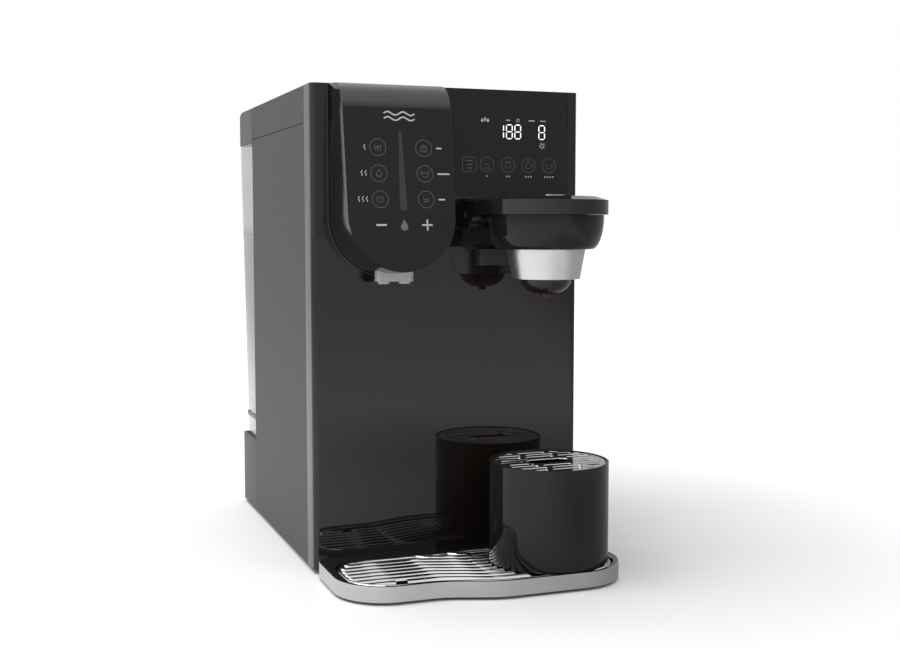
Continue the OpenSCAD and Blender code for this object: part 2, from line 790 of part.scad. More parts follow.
// Plan of the wave grille, with rounded back corners
module grille_plan(d) {
    r = 26;
    x = hw - grille_side - d;
    y = front_y + grille_back - d;
    intersection() {
        polygon(tray_points(grille_front + d));
        union() {
            translate([-x, front_y - tray_reach]) square([2 * x, tray_reach + grille_back - r - d]);
            translate([r - x, y - r - 1]) square([2 * (x - r), r + 1]);
            for (s = [-1, 1]) translate([s * (x - r), y - r]) circle(r);
        }
    }
}

module tray_rim() {
    color([0.75, 0.75, 0.76]) translate([0, 0, pad_h]) linear_extrude(rim_top - pad_h) difference() {
        tray_shape(0, -0.4);
        tray_shape(rim_t, 1);
    }
}

module drip_tray() {
    color([0.13, 0.13, 0.13]) {
        difference() {
            translate([0, 0, pad_h]) linear_extrude(tray_top - pad_h) tray_shape(rim_t + 0.05, -0.4);
            translate([0, 0, tray_top - grille_t - 0.2]) linear_extrude(5) grille_plan(-0.4);
            translate([0, 0, pad_h + 2.4]) linear_extrude(20) grille_plan(4);
        }
        for (s = [-1, 1]) block([s * 48 - 12, front_y - 1, 8], [s * 48 + 12, front_y + 12, 11]);
    }
}

module tray_pads() {
    color([0.09, 0.09, 0.09]) for (p = [[-95, -185], [90, -195], [-95, -125], [95, -125]])
        rod(p[0], p[1], 0, pad_h, 7);
}

// One wavy slot that runs along X, a set distance behind the front edge
module wave_slot(x0, x1, back, w) {
    steps = 16;
    xs = [for (i = [0:steps]) x0 + (x1 - x0) * i / steps];
    polygon(concat([for (x = xs) [x, tray_front(x) + back]],
                   [for (i = [steps:-1:0]) [xs[i], tray_front(xs[i]) + back + w]]));
}

module tray_grille() {
    color([0.85, 0.85, 0.86]) translate([0, 0, tray_top - grille_t]) linear_extrude(grille_t) difference() {
        grille_plan(0);
        intersection() {
            grille_plan(5);
            for (i = [0:8]) wave_slot(-hw + 8, hw - 8, 12 + i * slot_pitch, 3.4);
        }
        translate([-15, tray_front(-15) + 4]) stadium(16, 5);
    }
}

module cup_stand() {
    color([0.14, 0.14, 0.14]) translate([stand_x, stand_y, stand_z]) difference() {
        cylinder(h = stand_h, r = stand_r);
        translate([0, 0, 2]) cylinder(h = stand_h - 2 - shelf_drop - 2, r = stand_r - stand_wall);
        translate([0, 0, -1]) cylinder(h = stand_h + 2, r = stand_r - stand_wall - 4);
        translate([0, 0, stand_h - shelf_drop])
            cylinder(h = shelf_drop + 1, r = stand_r - stand_wall + 0.6);
    }
}

module stand_grille() {
    r = stand_r - stand_wall;
    color([0.3, 0.3, 0.3]) translate([stand_x, stand_y, stand_z + stand_h - shelf_drop])
        linear_extrude(1.8) difference() {
        circle(r);
        difference() {
            intersection() {
                circle(r - 4);
                for (i = [0:8], s = [-1, 0, 1])
                    translate([s * 31 + (i % 2) * 4, (i - 4) * slot_pitch * 0.95])
                    stadium(26, 4.2);
            }
            stadium(stand_hole_l + 8, stand_hole_w + 8);
        }
        stadium(stand_hole_l, stand_hole_w);
    }
}

// ---------- water path and electrics ----------

filter_r = 36;
neck_r = 21;
filter_spots = [[-76, 88], [2, 88]];
manifold_z = foot_h + 18;

module filter_manifold() {
    color([0.8, 0.8, 0.78]) difference() {
        union() {
            block([-108, 55, manifold_z], [34, 121, manifold_z + 26]);
            for (x = [-104, 30]) block([x - 4, 60, foot_h + pan_t], [x + 4, 116, manifold_z + 1]);
        }
        for (p = filter_spots) rod(p[0], p[1], manifold_z + 12, manifold_z + 30, neck_r + 0.4);
    }
}

module cartridge(i) {
    p = filter_spots[i];
    z0 = manifold_z + 27;
    z1 = z0 + 290;
    color([0.9, 0.9, 0.9]) {
        rod(p[0], p[1], manifold_z + 12.3, z0 + 1, neck_r);
        translate([p[0], p[1], z0]) cylinder(h = 6, r1 = filter_r - 5, r2 = filter_r);
        rod(p[0], p[1], z0 + 6, z1, filter_r);
        translate([p[0], p[1], z1]) cylinder(h = 6, r1 = filter_r, r2 = filter_r - 6);
        block([p[0] - 5, p[1] - 26, z1 + 5], [p[0] + 5, p[1] + 26, z1 + 20]);
    }
}

pump_x = 82;
pump_z = 56;

module pump_head() {
    color([0.2, 0.2, 0.22]) {
        block([pump_x - 27, 74, pump_z - 27], [pump_x + 27, 108, pump_z + 27]);
        for (s = [-1, 1]) bar([pump_x + s * 14, 107, pump_z + 12], [pump_x + s * 14, 115, pump_z + 12], 4);
        for (s = [-1, 1])
            block([pump_x + s * 18 - 5, 80, foot_h + pan_t], [pump_x + s * 18 + 5, 104, pump_z - 26]);
    }
}

module pump_motor() {
    color([0.6, 0.6, 0.62]) {
        bar([pump_x, -4, pump_z], [pump_x, 74, pump_z], 25);
        bar([pump_x, -8, pump_z], [pump_x, -4, pump_z], 8);
    }
}

heater_x = 78;
heater_y = -38;

module heater() {
    color([0.75, 0.75, 0.76]) {
        rod(heater_x, heater_y, 60, 230, 22);
        for (s = [-1, 1]) rod(heater_x + s * 9, heater_y, 230, 242, 5);
        rod(heater_x, heater_y, 46, 60, 5);
        block([heater_x - 26, heater_y - 6, 80], [heater_x + 26, heater_y + 6, 92]);
        block([heater_x - 26, heater_y - 6, 200], [heater_x + 26, heater_y + 6, 212]);
    }
}

module inlet_valve() {
    color([0.85, 0.85, 0.85]) {
        block([-96, 12, 26], [-60, 44, 50]);
        rod(-78, 28, 49, 78, 13);
        block([-92, 16, foot_h + pan_t], [-64, 40, 27]);
    }
}

uv_x = -59;
uv_y = -52;

module uv_lamp() {
    color([0.7, 0.72, 0.75]) {
        rod(uv_x, uv_y, 110, 250, 15);
        rod(uv_x, uv_y, 250, 262, 5);
        rod(uv_x, uv_y, 98, 110, 5);
        for (z = [124, 226]) block([uv_x - 18, uv_y - 4, z], [uv_x + 18, uv_y + 19, z + 10]);
    }
}

module power_supply() {
    color([0.65, 0.65, 0.66]) difference() {
        block([-104, -84, foot_h + pan_t], [6, -26, foot_h + 48]);
        for (i = [0:9]) block([-98 + i * 10, -85, 22], [-94 + i * 10, -82, 44]);
    }
}

module main_board() {
    y = front_y + 6;
    color([0.05, 0.3, 0.15]) {
        block([-6, y, 80], [104, y + 1.6, 250]);
        for (i = [0:2], j = [0:2])
            block([6 + i * 34, y + 1.5, 96 + j * 50], [24 + i * 34, y + 9 + 3 * j, 112 + j * 50]);
        for (i = [0:3]) bar([16 + i * 24, y + 1.5, 128], [16 + i * 24, y + 16, 128], 6);
    }
}

hose_r = 3.2;

// Route from the tank dock's port to the pump's inlet
feed_route = [[0, valve_y, 55.8], [0, valve_y, 44], [0, bay_y - 8, 44], [10, bay_y - 18, 46],
              [pump_x - 34, bay_y - 18, 54], [pump_x - 14, bay_y - 14, pump_z + 12],
                  [pump_x - 14, 115.2, pump_z + 12]];

module feed_hose() {
    color([0.85, 0.87, 0.9]) hose(feed_route, hose_r, [0.3, 0.2, 0.25]);
}

// Routes from the heater to the hot outlet and to the brewing head
hot_x = tongue_x + outlet_gap / 2;
hot_route = [[heater_x - 9, heater_y, 242.2], [heater_x - 9, heater_y, 268], [heater_x - 30, -66, 290],
             [0, -82, 298], [hot_x, -88, 298], [hot_x, front_y - 12, 298], [hot_x, spout_y, 296],
             [hot_x, spout_y, spout_z + 16.2]];
brew_route = [[heater_x + 9, heater_y, 242.2], [heater_x + 9, heater_y, 270], [brew_x + 10, -64, 292],
              [brew_x, -84, 294], [brew_x, front_y - 8.9, 294]];

module hot_hose() {
    color([0.8, 0.35, 0.25]) {
        hose(hot_route, hose_r, [0.9, 0.1, 0.42]);
        hose(brew_route, hose_r, [1, 0.1, 0.2]);
    }
}

module ambient_hose() {
    x = tongue_x - outlet_gap / 2;
    route = [[uv_x, uv_y, 262.2], [uv_x, uv_y, 284], [x, -78, 298], [x, front_y - 12, 298],
             [x, spout_y, 296], [x, spout_y, spout_z + 16.2]];
    color([0.85, 0.87, 0.9]) hose(route, hose_r, [1, 0.1, 0.2]);
}

module power_inlet() {
    x = 12;
    z = 8.2;
    color([0.08, 0.08, 0.08]) translate([inlet_x, rear_y, inlet_z]) {
        difference() {
            union() {
                block([-14, -24, -11], [14, -0.2, 11]);
                block([-17, -4.8, -13.5], [17, -wall - 0.1, 13.5]);
            }
            forward(0.5, 17) polygon([[-x, -z], [x, -z], [x, z - 4], [x - 4, z], [4 - x, z], [-x, z - 4]]);
        }
        for (i = [-1:1])
            block([i * 7 - 2, -17, -1 + (i == 0 ? 3 : 0)], [i * 7 + 2, -6, 0.5 + (i == 0 ? 3 : 0)]);
    }
}

module screws() {
    color("silver") for (p = screw_spots) {
        rod(p[0], p[1], foot_h - 2, foot_h, 3.6);
        rod(p[0], p[1], foot_h - eps, foot_h + 10, screw_r);
    }
}

// ---------- nodes ----------

base_pan();
foot(0);  // foot_front_left
foot(1);  // foot_front_right
foot(2);  // foot_rear_left
foot(3);  // foot_rear_right
side_panel(-1);  // side_panel_left
side_panel(1);  // side_panel_right
front_panel();
display_glass();
display_board();
bay_wall();
tank_dock();
top_cover();
water_tank();
tank_band();
tank_lid();
tank_lid_pin();
tank_valve();
tank_valve_spring();
tank_seal();
control_housing();
control_trim();
control_glass();
control_board();
spout_block();
outlet(tongue_x + outlet_gap / 2);  // hot_outlet
outlet(tongue_x - outlet_gap / 2);  // ambient_outlet
brew_bracket();
brew_mount();
brew_bowl();
brew_hinge_pin();
brew_lid();
lid_button();
lid_button_spring();
lid_seal();
brew_cup();
brew_sieve();
outlet_dome();
outlet_nozzle();
tray_rim();
drip_tray();
tray_pads();
tray_grille();
cup_stand();
stand_grille();
filter_manifold();
cartridge(0);  // prefilter_cartridge
cartridge(1);  // membrane_cartridge
pump_head();
pump_motor();
heater();
inlet_valve();
uv_lamp();
power_supply();
main_board();
feed_hose();
hot_hose();
ambient_hose();
power_inlet();
screws();
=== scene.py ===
import json
import math

import bmesh
import bpy
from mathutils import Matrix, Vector

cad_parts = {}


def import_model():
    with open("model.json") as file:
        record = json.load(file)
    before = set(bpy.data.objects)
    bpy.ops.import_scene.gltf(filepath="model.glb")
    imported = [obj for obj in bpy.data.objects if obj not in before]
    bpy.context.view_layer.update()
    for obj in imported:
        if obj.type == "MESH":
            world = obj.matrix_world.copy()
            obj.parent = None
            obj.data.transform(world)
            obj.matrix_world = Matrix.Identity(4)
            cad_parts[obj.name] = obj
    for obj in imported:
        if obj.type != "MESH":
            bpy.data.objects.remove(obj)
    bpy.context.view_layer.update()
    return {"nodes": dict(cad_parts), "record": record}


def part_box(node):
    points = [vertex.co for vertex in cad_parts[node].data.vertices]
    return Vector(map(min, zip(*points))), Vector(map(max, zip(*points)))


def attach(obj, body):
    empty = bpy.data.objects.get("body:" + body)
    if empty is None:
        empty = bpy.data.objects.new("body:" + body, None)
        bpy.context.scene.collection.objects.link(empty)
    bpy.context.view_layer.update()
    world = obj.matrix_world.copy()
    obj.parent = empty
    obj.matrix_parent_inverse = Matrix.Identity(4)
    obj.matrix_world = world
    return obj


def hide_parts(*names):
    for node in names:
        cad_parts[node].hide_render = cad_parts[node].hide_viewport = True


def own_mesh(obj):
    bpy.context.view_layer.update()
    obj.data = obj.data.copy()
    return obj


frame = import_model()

# Countertop water dispenser. The CAD nodes keep their shapes and get procedural materials and
# soft edges; the waved grille, the springs and the printed symbols are built here.
# Everything is in metres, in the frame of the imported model: the front faces -Y.

MM = 0.001
nodes = frame["nodes"]
SLOTS = {s["node"]: s["material_slot"] for s in frame["record"]["subparts"]}

FRONT_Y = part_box("front_panel")[0].y


# ---------- materials ----------

def set_range(node, from_low, from_high, to_low, to_high):
    """Sets a Map Range node to take from_low..from_high to to_low..to_high."""
    node.inputs["From Min"].default_value = from_low
    node.inputs["From Max"].default_value = from_high
    node.inputs["To Min"].default_value = to_low
    node.inputs["To Max"].default_value = to_high


class Look:
    """A principled material whose detail comes from noise in object space."""

    def __init__(self, name, color, roughness, metallic=0.0, ior=1.5, specular=0.5):
        self.material = bpy.data.materials.new(name)
        self.material.use_nodes = True
        self.tree = self.material.node_tree
        self.shader = self.tree.nodes["Principled BSDF"]
        self.color = (*color, 1.0)
        self.set("Base Color", self.color)
        self.set("Roughness", roughness)
        self.set("Metallic", metallic)
        self.set("IOR", ior)
        self.set("Specular IOR Level", specular)
        self.place = self.add("ShaderNodeTexCoord").outputs["Object"]

    def add(self, kind, **settings):
        node = self.tree.nodes.new(kind)
        for key, value in settings.items():
            setattr(node, key, value)
        return node

    def link(self, source, target):
        self.tree.links.new(source, target)

    def set(self, socket, value):
        self.shader.inputs[socket].default_value = value

    def stretched(self, stretch):
        mapping = self.add("ShaderNodeMapping")
        mapping.inputs["Scale"].default_value = stretch
        self.link(self.place, mapping.inputs["Vector"])
        return mapping.outputs["Vector"]

    def noise(self, scale, detail, stretch=(1, 1, 1)):
        texture = self.add("ShaderNodeTexNoise")
        texture.inputs["Scale"].default_value = scale
        texture.inputs["Detail"].default_value = detail
        self.link(self.stretched(stretch), texture.inputs["Vector"])
        return texture.outputs["Fac"]

    def remap(self, source, from_low, from_high, to_low, to_high):
        """Map Range node on a source; its output is "Result"."""
        node = self.add("ShaderNodeMapRange")
        set_range(node, from_low, from_high, to_low, to_high)
        self.link(source, node.inputs["Value"])
        return node

    def spread(self, source, low, high):
        """Maps the middle of a noise to low..high."""
        return self.remap(source, 0.3, 0.7, low, high).outputs["Result"]

    def vary_color(self, scale, amount):
        """Slight lighter and darker patches."""
        mix = self.add("ShaderNodeMix", data_type="RGBA")
        dark = [c * (1 - amount) for c in self.color[:3]] + [1]
        light = [min(1, c * (1 + amount)) for c in self.color[:3]] + [1]
        mix.inputs["A"].default_value = dark
        mix.inputs["B"].default_value = light
        self.link(self.spread(self.noise(scale, 3), 0, 1), mix.inputs["Factor"])
        self.link(mix.outputs["Result"], self.shader.inputs["Base Color"])
        return mix.outputs["Result"]

    def vary_roughness(self, scale, low, high, stretch=(1, 1, 1)):
        noise = self.noise(scale, 3, stretch)
        self.link(self.spread(noise, low, high), self.shader.inputs["Roughness"])

    def grain(self, scale, depth, stretch=(1, 1, 1)):
        """Fine relief of the given depth in metres."""
        bump = self.add("ShaderNodeBump")
        bump.inputs["Strength"].default_value = 1.0
        bump.inputs["Distance"].default_value = depth
        self.link(self.noise(scale, 2, stretch), bump.inputs["Height"])
        self.link(bump.outputs["Normal"], self.shader.inputs["Normal"])


def moulded(name, color, roughness=0.5, depth=0.00001, specular=0.5):
    """Matte moulding with a spark-eroded grain."""
    look = Look(name, color, roughness, specular=specular)
    look.vary_color(8, 0.015)
    look.vary_roughness(300, roughness - 0.03, roughness + 0.03)
    look.grain(1400, depth)
    return look.material


def gloss(name, color, roughness, specular=0.5):
    """Polished plastic or back-printed glass."""
    look = Look(name, color, roughness, specular=specular)
    look.vary_color(12, 0.06)
    look.vary_roughness(35, max(0.0, roughness - 0.015), roughness + 0.02)
    return look.material


def metal(name, color, low, high, stretch=(1, 1, 1), depth=0.0):
    """Metal with a roughness from low to high; a stretch and a depth give it a brushed grain."""
    look = Look(name, color, (low + high) / 2, metallic=1.0)
    look.vary_color(18, 0.03)
    look.vary_roughness(300, low, high, stretch)
    if depth:
        look.grain(900, depth, stretch)
    return look.material


def clear(name, color, roughness, transmission, ior):
    """Transparent plastic."""
    look = Look(name, color, roughness, ior=ior)
    look.set("Transmission Weight", transmission)
    look.vary_roughness(20, roughness * 0.7, roughness * 1.4)
    return look.material


def printed(name, color, glow=0.0):
    """Ink on glass, or a lit segment when it glows."""
    look = Look(name, color, 0.55)
    look.vary_color(400, 0.08)
    look.vary_roughness(200, 0.45, 0.65)
    if glow:
        look.set("Emission Color", (*color, 1.0))
        look.set("Emission Strength", glow)
    return look.material


CORNER_BLACK, CORNER_GREY = 4.0 * MM, 4.6 * MM      # depths between which the black turns grey


def front_panel_look():
    """Gloss black face; behind the rounded corner the wrapped sides are satin grey."""
    look = Look("front_gloss", (0.010, 0.0075, 0.0065), 0.02, specular=0.5)
    black = look.vary_color(9, 0.05)
    axes = look.add("ShaderNodeSeparateXYZ")
    look.link(look.place, axes.inputs["Vector"])
    side = look.remap(axes.outputs["Y"], FRONT_Y + CORNER_BLACK, FRONT_Y + CORNER_GREY, 0.0, 1.0)
    mix = look.add("ShaderNodeMix", data_type="RGBA")
    mix.inputs["B"].default_value = (0.085, 0.085, 0.085, 1)
    look.link(side.outputs["Result"], mix.inputs["Factor"])
    look.link(black, mix.inputs["A"])
    look.link(mix.outputs["Result"], look.shader.inputs["Base Color"])
    rough = look.add("ShaderNodeMix", data_type="FLOAT")
    rough.inputs["B"].default_value = 0.38
    look.link(side.outputs["Result"], rough.inputs["Factor"])
    look.link(look.spread(look.noise(30, 3), 0.012, 0.035), rough.inputs["A"])
    look.link(rough.outputs["Result"], look.shader.inputs["Roughness"])
    return look.material


LOOKS = {
    "panel_grey": moulded("panel_grey", (0.066, 0.066, 0.066), 0.5, specular=0.12),
    "front_gloss": front_panel_look(),
    "head_gloss": gloss("head_gloss", (0.012, 0.009, 0.008), 0.06, specular=0.55),
    "housing_gloss": gloss("housing_gloss", (0.009, 0.0085, 0.0085), 0.11, specular=0.7),
    "satin_black": gloss("satin_black", (0.010, 0.010, 0.010), 0.07, specular=0.28),
    "touch_glass": gloss("touch_glass", (0.010, 0.010, 0.010), 0.09, specular=0.34),
    "light_grey": moulded("light_grey", (0.100, 0.100, 0.100), 0.5, specular=0.15),
    "dark_grey": moulded("dark_grey", (0.035, 0.035, 0.036), 0.5),
    "trim_bronze": gloss("trim_bronze", (0.030, 0.027, 0.025), 0.2),
    "clear_tank": clear("clear_tank", (0.66, 0.67, 0.69), 0.03, 0.95, 1.25),
    "smoke_clear": clear("smoke_clear", (0.020, 0.010, 0.009), 0.04, 0.2, 1.45),
    "satin_metal": metal("satin_metal", (0.52, 0.52, 0.525), 0.28, 0.34, (1, 1, 12), 0.000002),
    "bright_chrome": metal("bright_chrome", (0.52, 0.52, 0.525), 0.03, 0.06),
    "grille_chrome": metal("grille_chrome", (0.50, 0.50, 0.50), 0.03, 0.06),
    "cup_silver": metal("cup_silver", (0.62, 0.62, 0.62), 0.26, 0.32, (1, 1, 10)),
    "spout_silver": gloss("spout_silver", (0.42, 0.42, 0.42), 0.3),
    "band_grey": moulded("band_grey", (0.09, 0.09, 0.09), 0.4),
    "steel": metal("steel", (0.55, 0.55, 0.56), 0.25, 0.40, (1, 1, 6), 0.000006),
    "rubber_black": moulded("rubber_black", (0.02, 0.02, 0.02), 0.75, 0.00006),
    "seal_silicone": moulded("seal_silicone", (0.30, 0.13, 0.10), 0.6),
    "hose_white": moulded("hose_white", (0.62, 0.65, 0.68), 0.35, 0.00001),
    "white_plastic": moulded("white_plastic", (0.70, 0.70, 0.68), 0.42),
    "board_green": moulded("board_green", (0.01, 0.10, 0.035), 0.4, 0.00003),
    "inlet_black": moulded("inlet_black", (0.015, 0.015, 0.015), 0.5),
    "ink": printed("ink", (0.50, 0.50, 0.50)),
    "ink_dim": printed("ink_dim", (0.13, 0.13, 0.13)),
    "ink_bronze": printed("ink_bronze", (0.030, 0.026, 0.024)),
    "segment": printed("segment", (0.95, 0.96, 1.0), 1.0),
}

# Nodes whose look differs from the slot's own
NODE_LOOKS = {
    "brew_lid": "head_gloss", "brew_bracket": "head_gloss", "brew_bowl": "satin_black",
    # brew_mount's matte dark grey is lighter than the gloss around it: a painted reflection of the
    # floor
    "cup_stand": "satin_black", "brew_mount": "dark_grey", "control_housing": "housing_gloss",
    "brew_cup": "cup_silver", "drip_tray": "head_gloss", "spout_block": "spout_silver",
    "hot_outlet": "spout_silver", "ambient_outlet": "spout_silver", "tank_band": "band_grey",
    "stand_grille": "grille_chrome", "outlet_nozzle": "head_gloss",
}


# ---------- meshes ----------

WELD = 0.004 * MM               # points of a CAD mesh closer than this are one point
SHARP = math.radians(28)        # edges above this angle are shaded sharp
ROUNDED = math.radians(35)      # edges above this angle are rounded off


def smooth_by_angle():
    """Node group that joins the model's split edges and shades smooth between sharp ones."""
    group = bpy.data.node_groups.new("smooth_by_angle", "GeometryNodeTree")
    group.interface.new_socket("Geometry", in_out="INPUT", socket_type="NodeSocketGeometry")
    group.interface.new_socket("Geometry", in_out="OUTPUT", socket_type="NodeSocketGeometry")
    add = group.nodes.new
    entry, leave = add("NodeGroupInput"), add("NodeGroupOutput")
    bare = add("GeometryNodeRemoveAttribute")
    bare.inputs["Name"].default_value = "custom_normal"
    merge = add("GeometryNodeMergeByDistance")
    merge.inputs["Distance"].default_value = WELD
    faces, edges = add("GeometryNodeSetShadeSmooth"), add("GeometryNodeSetShadeSmooth")
    faces.domain, edges.domain = "FACE", "EDGE"
    edges.inputs["Shade Smooth"].default_value = False
    angle = add("GeometryNodeInputMeshEdgeAngle")
    sharp = add("FunctionNodeCompare")
    sharp.operation = "GREATER_THAN"
    sharp.inputs["B"].default_value = SHARP
    link = group.links.new
    link(entry.outputs[0], bare.inputs["Geometry"])
    link(bare.outputs[0], merge.inputs["Geometry"])
    link(merge.outputs[0], faces.inputs["Geometry"])
    link(faces.outputs[0], edges.inputs["Geometry"])
    link(angle.outputs["Unsigned Angle"], sharp.inputs["A"])
    link(sharp.outputs["Result"], edges.inputs["Selection"])
    link(edges.outputs[0], leave.inputs[0])
    return group


SMOOTH = smooth_by_angle()


def soften(obj, width=0.0):
    """Smooth shading with rounded sharp edges."""
    shade = obj.modifiers.new("shade", "NODES")
    shade.node_group = SMOOTH
    if width:
        bevel = obj.modifiers.new("bevel", "BEVEL")
        bevel.width = width
        bevel.segments = 2
        bevel.limit_method = "ANGLE"
        bevel.angle_limit = ROUNDED
        bevel.harden_normals = True
        bevel.use_clamp_overlap = True


def dress(obj, look):
    obj.data.materials.clear()
    obj.data.materials.append(LOOKS[look])


def piece(name, verts, faces, look, body):
    """New mesh piece that rides on a body."""
    mesh = bpy.data.meshes.new(name)
    mesh.from_pydata([tuple(v) for v in verts], [], faces)
    mesh.validate()
    mesh.update()
    obj = bpy.data.objects.new(name, mesh)
    bpy.context.scene.collection.objects.link(obj)
    dress(obj, look)
    soften(obj)
    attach(obj, body)
    return obj


# ---------- CAD nodes ----------

# Rounding of sharp edges, in millimetres
EDGE = {
    "front_panel": 0.5, "side_panel_left": 0.5, "side_panel_right": 0.5, "top_cover": 0.6,
    "tank_lid": 0.6, "tank_dock": 0.6, "control_glass": 0.2, "display_glass": 0.15,
    "spout_block": 0.8, "brew_bracket": 1.2, "brew_mount": 1.2, "brew_bowl": 0.5, "brew_lid": 0.7,
    "lid_button": 0.5, "brew_cup": 0.3, "cup_stand": 0.4, "tray_rim": 0.4, "control_trim": 0.3,
    "tank_band": 0.3, "stand_grille": 0.9, "power_inlet": 0.4, "drip_tray": 0.3,
}
for node, obj in nodes.items():
    dress(obj, NODE_LOOKS.get(node, SLOTS[node]))
    soften(obj, EDGE.get(node, 0.0) * MM)
nodes["stand_grille"].modifiers["bevel"].use_clamp_overlap = False


# ---------- waved grille ----------

def twice_area(points):
    """Twice the area within a closed outline; positive where it runs anticlockwise."""
    return sum(a.cross(b) for a, b in zip(points, points[1:] + points[:1]))


def upper_outline(node):
    """Outer outline of a flat node's upper face as a list of 2D points, anticlockwise."""
    mesh = bmesh.new()
    mesh.from_mesh(nodes[node].data)
    bmesh.ops.remove_doubles(mesh, verts=mesh.verts, dist=WELD)
    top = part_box(node)[1].z - 0.01 * MM
    upper = {f for f in mesh.faces if f.normal.z > 0.99 and f.calc_center_median().z > top}
    border = {}
    for f in upper:
        for loop in f.loops:
            if sum(other in upper for other in loop.edge.link_faces) == 1:
                border[loop.vert.index] = loop.link_loop_next.vert.index
    mesh.verts.ensure_lookup_table()
    outlines = []
    while border:
        start = here = next(iter(border))
        points = []
        while here in border:
            points.append(mesh.verts[here].co.xy.copy())
            here = border.pop(here)
        outlines.append(points)
    mesh.free()
    return max(outlines, key=twice_area)


def evenly(points, spacing):
    """The closed outline again, with evenly spaced points."""
    closed = points + points[:1]
    lengths = [0.0]
    for a, b in zip(closed, closed[1:]):
        lengths.append(lengths[-1] + (b - a).length)
    count = round(lengths[-1] / spacing)
    result, i = [], 0
    for k in range(count):
        goal = lengths[-1] * k / count
        while lengths[i + 1] < goal:
            i += 1
        t = (goal - lengths[i]) / (lengths[i + 1] - lengths[i])
        result.append(closed[i].lerp(closed[i + 1], t))
    return result


def rounded(points, passes):
    """Outline with eased corners; a pass moves each point halfway to its neighbours' middle."""
    for _ in range(passes):
        n = len(points)
        points = [(points[i - 1] + points[i] * 2 + points[(i + 1) % n]) / 4 for i in range(n)]
    return points


def inwards(points, distance):
    """The closed outline again, each point moved in by a distance."""
    n = len(points)
    result = []
    for i in range(n):
        run = (points[(i + 1) % n] - points[i - 1]).normalized()
        result.append(points[i] + Vector((-run.y, run.x)) * distance)
    return result


def inside(x, y, outline):
    """True if a point is within the closed outline."""
    odd = False
    for a, b in zip(outline, outline[1:] + outline[:1]):
        if (a.y > y) != (b.y > y) and x < a.x + (y - a.y) / (b.y - a.y) * (b.x - a.x):
            odd = not odd
    return odd


def to_edge(point, outline):
    """Distance from a point to the closed outline."""
    nearest = math.inf
    for a, b in zip(outline, outline[1:] + outline[:1]):
        t = min(1, max(0, (point - a).dot(b - a) / (b - a).length_squared))
        nearest = min(nearest, (point - a.lerp(b, t)).length)
    return nearest


ACROSS = 8                      # faces over a strip's crown


class Bars:
    """Crowned strips, swept along paths of 2D points and gathered into one mesh."""

    def __init__(self, low, high, crown):
        self.low, self.high, self.crown = low, high, crown
        self.verts, self.faces = [], []

    def sweep(self, path, widths, closed=False):
        """Adds a strip with a width for each point of its path."""
        n, m = len(path), ACROSS
        start = len(self.verts)
        for i, (point, width) in enumerate(zip(path, widths)):
            before = path[i - 1] if closed or i else point
            after = path[(i + 1) % n] if closed or i < n - 1 else point
            run = (after - before).normalized()
            side = Vector((-run.y, run.x))
            for k in range(m + 1):
                t = 2 * k / m - 1
                spot = point + side * (t * width / 2)
                self.verts.append((spot.x, spot.y, self.high - self.crown * t * t))
            for t in (1, -1):
                spot = point + side * (t * width / 2)
                self.verts.append((spot.x, spot.y, self.low))
        sides = m + 3
        for i in range(n if closed else n - 1):
            a, b = start + i * sides, start + (i + 1) % n * sides
            for k in range(sides):
                j = (k + 1) % sides
                self.faces.append((a + k, b + k, b + j, a + j))
        if not closed:
            end = start + (n - 1) * sides
            self.faces.append(tuple(start + k for k in range(sides)))
            self.faces.append(tuple(end + sides - 1 - k for k in range(sides)))


WAVE, WAVE_START, WAVE_RUN = 15.7 * MM, -53 * MM, 63 * MM
OUTLINE_STEP = 2.5 * MM
EASING = 24                     # passes that ease the outline's corners
RIDGE_X = range(-120, 121, 2)   # where a ridge has points, in millimetres
BORDER, BORDER_CROWN = 4 * MM, 1.5 * MM
FIRST_RIDGE, PITCH, BAR_W, BAR_CROWN = 18.7 * MM, 10 * MM, 7.6 * MM, 2.7 * MM
BAR_BELOW = 1.5 * MM            # how far the ridges reach below the border
NOTCH_X = (-79 * MM, -71 * MM)  # finger notch in the first ridge
TRAY_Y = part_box("tray_rim")[0].y


def tray_front(x):
    """Front edge of the tray: a low lobe on the left runs into a deeper one on the right."""
    u = min(1.0, max(0.0, (x - WAVE_START) / WAVE_RUN))
    return TRAY_Y + WAVE * (1 - u * u * (3 - 2 * u))


def waved_grille():
    """Border and ridges, which run side by side until they leave the outline; their ends taper."""
    low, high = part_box("tray_grille")
    outline = rounded(evenly(upper_outline("tray_grille"), OUTLINE_STEP), EASING)
    inner = inwards(outline, BORDER / 2)
    bars = Bars(low.z, high.z, BORDER_CROWN)
    bars.sweep(inner, [BORDER] * len(outline), closed=True)
    bars.low, bars.crown = low.z - BAR_BELOW, BAR_CROWN
    row = 0
    while True:
        back = FIRST_RIDGE + row * PITCH
        path = [Vector((x * MM, tray_front(x * MM) + back)) for x in RIDGE_X]
        path = [p for p in path if inside(p.x, p.y, inner)]
        if len(path) < 4:
            break
        left = [p for p in path if p.x < NOTCH_X[0]]
        right = [p for p in path if p.x > NOTCH_X[1]]
        for run in [path] if row else [left, right]:
            bars.sweep(run, [min(BAR_W, 2 * to_edge(p, outline) - BORDER / 2) for p in run])
        row += 1
    obj = piece("waved_grille", bars.verts, bars.faces, "bright_chrome", "grille")
    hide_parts("tray_grille")


waved_grille()


# ---------- springs ----------

TURN_STEPS, WIRE_SIDES = 24, 8


